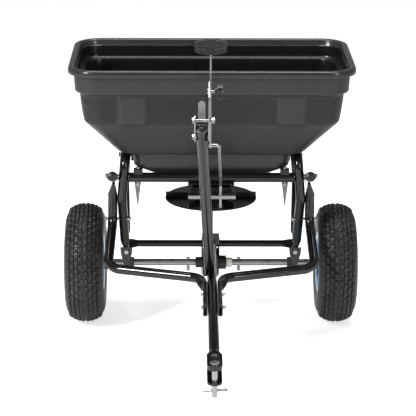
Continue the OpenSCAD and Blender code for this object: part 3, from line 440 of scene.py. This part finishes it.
def build_hopper():
    profile = hopper_profile()
    points = []
    shade = []
    for half_w, half_d, radius, z, proud in profile:
        ring = hopper_ring(half_w, half_d, radius, z, proud)
        points += ring
        # each point keeps its panel share, which sets the painted shade on the recessed panels
        shade += [panel_share(x, y) if proud else 0.0 for x, y, z in ring]
    columns = 2 * (LONG + SHORT) + 4 * CORNER
    faces = loop_faces(len(profile), columns, True)
    piece = mesh_object("hopper_shell", points, faces, MATERIALS["hopper_plastic"], 50)
    piece.data.materials.append(SHADED_INSIDE)
    piece.data.materials.append(LIP_FACE)
    piece.data.attributes.new("painted_panel_shade", "FLOAT", "POINT").data.foreach_set("value", shade)
    first_inside = next(i for i, row in enumerate(profile)
                        if row[:2] == (46, 51) and row[3] > FLOOR_Z + 4)
    inside_slot, lip_slot = 1, 2
    for index, polygon in enumerate(piece.data.polygons):
        ring = index // columns
        if ring < LIP_RINGS:
            polygon.material_index = lip_slot
        elif ring >= first_inside:
            polygon.material_index = inside_slot
    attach(piece, "frame")
    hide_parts("hopper")


# ---------- tyres ----------

LUGS = 44           # lug pitches round the tread
ROW = 11.6          # width of one row of lugs
ROWS = 4            # rows of lugs on each side of the middle
LUG_HEIGHT = 4.4
STEPS = 18          # mesh columns per lug pitch


def pulse(t, low, high, soft):
    return smooth_step((t - low) / soft) * smooth_step((high - t) / soft)


def lug(turn, across):
    """Height share of the turf tread at a share of a turn and a distance from the middle."""
    side = abs(across)
    if side > ROWS * ROW:
        return 0.0
    row = min(int(side / ROW), ROWS - 1)
    inside = side / ROW - row
    edge = 0.12 if row == 0 else 0.07
    step = pulse(inside, edge, 1.0 if row == ROWS - 1 else 0.97, 0.09)
    zigzag = 0.2 * abs(2 * inside - 1) + (0.12 if across > 0 else 0.0)
    phase = (turn * LUGS + 0.5 * (row % 2) + zigzag) % 1
    block = pulse(phase, 0.03, 0.9, 0.12)
    slit = 1 - 0.55 * pulse(phase, 0.4, 0.56, 0.07) * pulse(inside, 0.2, 0.9, 0.1)
    return step * block * slit


def tyre_outline(half_w, radius):
    """Dense (radius, offset) points from bead to bead, without lugs."""
    middle, half_h = radius - 45, 45 - LUG_HEIGHT
    points = []
    for i in range(601):
        phi = math.radians(-127 + 254 * i / 600)
        c, s = math.cos(phi), math.sin(phi)
        power = 2 / 2.05 if c > 0 else 2 / 2.9
        across = math.copysign(abs(s) ** power, s) * (half_w - 0.4)
        points.append((middle + math.copysign(abs(c) ** power, c) * half_h, across))
    return points


def tyre_section(half_w, radius):
    """(radius, offset, distance along the tread), close together at the lugs' edges."""
    points = tyre_outline(half_w, radius)
    run = [0.0]
    for a, b in zip(points, points[1:]):
        run.append(run[-1] + math.hypot(b[0] - a[0], b[1] - a[1]))
    half_run = run[-1] / 2
    stops = []
    for row in range(ROWS):
        stops += [(row + share) * ROW for share in (0.0, 0.05, 0.11, 0.18, 0.5, 0.84, 0.91, 0.97)]
    start = ROWS * ROW
    stops += [start + (half_run - start) * i / 18 for i in range(19)]
    section = []
    index = 0
    for stop in [-v for v in reversed(stops[1:])] + stops:
        while index < len(points) - 2 and run[index + 1] < stop + half_run:
            index += 1
        share = (stop + half_run - run[index]) / (run[index + 1] - run[index])
        a, b = points[index], points[index + 1]
        section.append((a[0] + (b[0] - a[0]) * share, a[1] + (b[1] - a[1]) * share, stop))
    return section


def build_tyre(side, body):
    low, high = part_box("tyre_" + side)
    centre = (low + high) / 2 / MM
    half_w = (high.x - low.x) / 2 / MM
    radius = (high.z - low.z) / 2 / MM
    section = tyre_section(half_w, radius)
    outer = len(section)
    bead = [(85.0, 44.5), (80, 42.8), (76.4, 42.2), (76.2, 32), (80, 30)]
    columns = LUGS * STEPS
    points = []
    for i, (r, x, along) in enumerate(section):
        before, after = section[max(i - 1, 0)], section[min(i + 1, outer - 1)]
        tangent = Vector((after[0] - before[0], after[1] - before[1])).normalized()
        out = Vector((tangent.y, -tangent.x))
        if out.dot(Vector((r - radius + 45, x))) < 0:
            out = -out
        for k in range(columns):
            turn = k / columns
            rise = LUG_HEIGHT * lug(turn, along)
            rr, xx = r + out.x * rise, x + out.y * rise
            angle = 2 * math.pi * turn
            points.append((xx, rr * math.cos(angle), rr * math.sin(angle)))
    for r, x in bead + [(r, -x) for r, x in reversed(bead)]:
        for k in range(columns):
            angle = 2 * math.pi * k / columns
            points.append((x, r * math.cos(angle), r * math.sin(angle)))
    points = [tuple(Vector(p) + centre) for p in points]
    faces = loop_faces(outer + 2 * len(bead), columns, True)
    piece = mesh_object("tyre_" + side + "_tread", points, faces, MATERIALS["tyre"], 40)
    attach(piece, body)
    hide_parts("tyre_" + side)


# ---------- turned small parts ----------


def lathe(name, profile, centre, axis, material, columns=36):
    """A piece turned about axis through centre, from (distance along, radius) pairs."""
    frame_of_axis = Vector(axis).to_track_quat("Z", "Y").to_matrix()
    points = []
    for along, radius in profile:
        for k in range(columns):
            angle = 2 * math.pi * k / columns
            spoke = Vector((radius * math.cos(angle), radius * math.sin(angle), along))
            points.append(frame_of_axis @ spoke + Vector(centre))
    faces = loop_faces(len(profile), columns, False)
    faces.append(tuple(range(columns - 1, -1, -1)))
    faces.append(tuple(range((len(profile) - 1) * columns, len(profile) * columns)))
    return mesh_object(name, points, faces, material, 40)


def build_grip_cap():
    """Bright domed nut that holds the grip on top of the lever."""
    low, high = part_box("lever_grip")
    top = Vector(((low.x + high.x) / 2, (low.y + high.y) / 2, high.z)) / MM
    profile = [(-1.5, 4.2), (-0.2, 4.2), (0.3, 3.9), (-0.4, 3.3), (-0.4, 1.2), (-0.8, 0.4)]
    cap = lathe("grip_cap", profile, top + Vector((0, 0, -0.3)), (0, 0, 1), MATERIALS["zinc"])
    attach(cap, "lever")


def build_valve_caps():
    """Dust caps on the two tyre valves."""
    for side, body in (("left", "idle_wheel"), ("right", "drive_axle")):
        low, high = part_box("valve_" + side)
        outward = -1 if side == "left" else 1
        tip = high.x if outward > 0 else low.x
        wheel_low, wheel_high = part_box("rim_" + side + "_outer")
        middle = (wheel_low + wheel_high) / 2
        stem = (low + high) / 2
        inward = Vector((0, middle.y - stem.y, middle.z - stem.z)).normalized()
        lean = Vector((outward * math.sin(math.radians(62)), 0, 0))
        lean += inward * math.cos(math.radians(62))
        end = Vector((tip, stem.y, stem.z)) - Vector((outward * 0.0035, 0, 0))
        end += inward * 0.0005
        profile = [(-4, 3.9), (3.4, 3.9), (4.0, 3.5), (4.6, 2.4)]
        cap = lathe("valve_cap_" + side, profile, end / MM, lean, MATERIALS["black_plastic"])
        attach(cap, body)


# ---------- floor, lights and camera ----------


def build_stage():
    floor = Surface("studio_floor", (0.92, 0.92, 0.92), (0.7, 0.8))
    floor.shader.inputs["Emission Color"].default_value = (1, 1, 1, 1)
    seen = floor.add("ShaderNodeLightPath").outputs["Is Camera Ray"]
    glow = floor.add("ShaderNodeMapRange")
    glow.inputs["To Min"].default_value = 0.1
    glow.inputs["To Max"].default_value = 0.66
    floor.connect(seen, glow.inputs["Value"])
    floor.connect(glow.outputs["Result"], floor.shader.inputs["Emission Strength"])
    floor.bump(floor.noise(60, 2), 0.05, 0.2)
    half = 30
    mesh = bpy.data.meshes.new("studio_floor")
    mesh.from_pydata([(-half, -half, 0), (half, -half, 0), (half, half, 0), (-half, half, 0)],
                     [], [(0, 1, 2, 3)])
    mesh.materials.append(floor.material)
    plane = bpy.data.objects.new("studio_floor", mesh)
    plane.location.z = cad_low.z - 0.0005
    bpy.context.scene.collection.objects.link(plane)


def area_light(name, place, target, size, power):
    light = bpy.data.lights.new(name, "AREA")
    light.shape = "RECTANGLE"
    light.size, light.size_y = size
    light.energy = power
    lamp = bpy.data.objects.new(name, light)
    lamp.location = place
    aim = Vector(target) - Vector(place)
    lamp.rotation_mode = "QUATERNION"
    lamp.rotation_quaternion = aim.to_track_quat("-Z", "Y")
    bpy.context.scene.collection.objects.link(lamp)


def build_lights():
    world = bpy.data.worlds.new("studio")
    world.use_nodes = True
    tree = world.node_tree
    background = tree.nodes["Background"]
    background.inputs["Color"].default_value = (1, 1, 1, 1)
    seen = tree.nodes.new("ShaderNodeLightPath").outputs["Is Camera Ray"]
    level = tree.nodes.new("ShaderNodeMapRange")
    level.inputs["To Min"].default_value = 0.24
    level.inputs["To Max"].default_value = 1.2
    tree.links.new(seen, level.inputs["Value"])
    tree.links.new(level.outputs["Result"], background.inputs["Strength"])
    bpy.context.scene.world = world
    middle = (cad_low + cad_high) / 2
    area_light("key", (-2.6, -2.2, 2.6), middle, (0.5, 1.1), 135)
    area_light("fill", (2.2, -2.6, 1.6), middle, (0.3, 1.6), 32)
    area_light("top", (0, 0.5, 3.2), middle, (2.2, 0.7), 80)
    bpy.context.scene.view_settings.view_transform = "Standard"


CAMERA_BEHIND_AXLE = (-0.0549, -4.7785, 1.8267)  # from the ground under the axle
CAMERA_PITCH = math.radians(17.47)
CAMERA_YAW = math.radians(0.566)
CAMERA_ROLL = math.radians(0.246)
CAMERA_LENS = 157.3


def build_camera():
    axle_low, axle_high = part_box("axle")
    axle_y = (axle_low.y + axle_high.y) / 2
    camera = bpy.data.objects.new("camera", bpy.data.cameras.new("camera"))
    camera.data.lens = CAMERA_LENS
    camera.data.sensor_width = 36
    camera.location = Vector(CAMERA_BEHIND_AXLE) + Vector((0, axle_y, 0))
    cp, sp = math.cos(CAMERA_PITCH), math.sin(CAMERA_PITCH)
    ahead = Vector((math.sin(CAMERA_YAW) * cp, math.cos(CAMERA_YAW) * cp, -sp))
    level = ahead.cross(Vector((0, 0, 1))).normalized()
    up = level.cross(ahead)
    right = level * math.cos(CAMERA_ROLL) + up * math.sin(CAMERA_ROLL)
    up = right.cross(ahead)
    camera.rotation_mode = "QUATERNION"
    camera.rotation_quaternion = Matrix((right, up, -ahead)).transposed().to_quaternion()
    bpy.context.scene.collection.objects.link(camera)
    bpy.context.scene.camera = camera


paint_frame()
for node_name, edge in SOFT_EDGES.items():
    soften(node_name, edge)
build_hopper()
build_tyre("left", "idle_wheel")
build_tyre("right", "drive_axle")
build_grip_cap()
build_valve_caps()
build_stage()
build_lights()
build_camera()
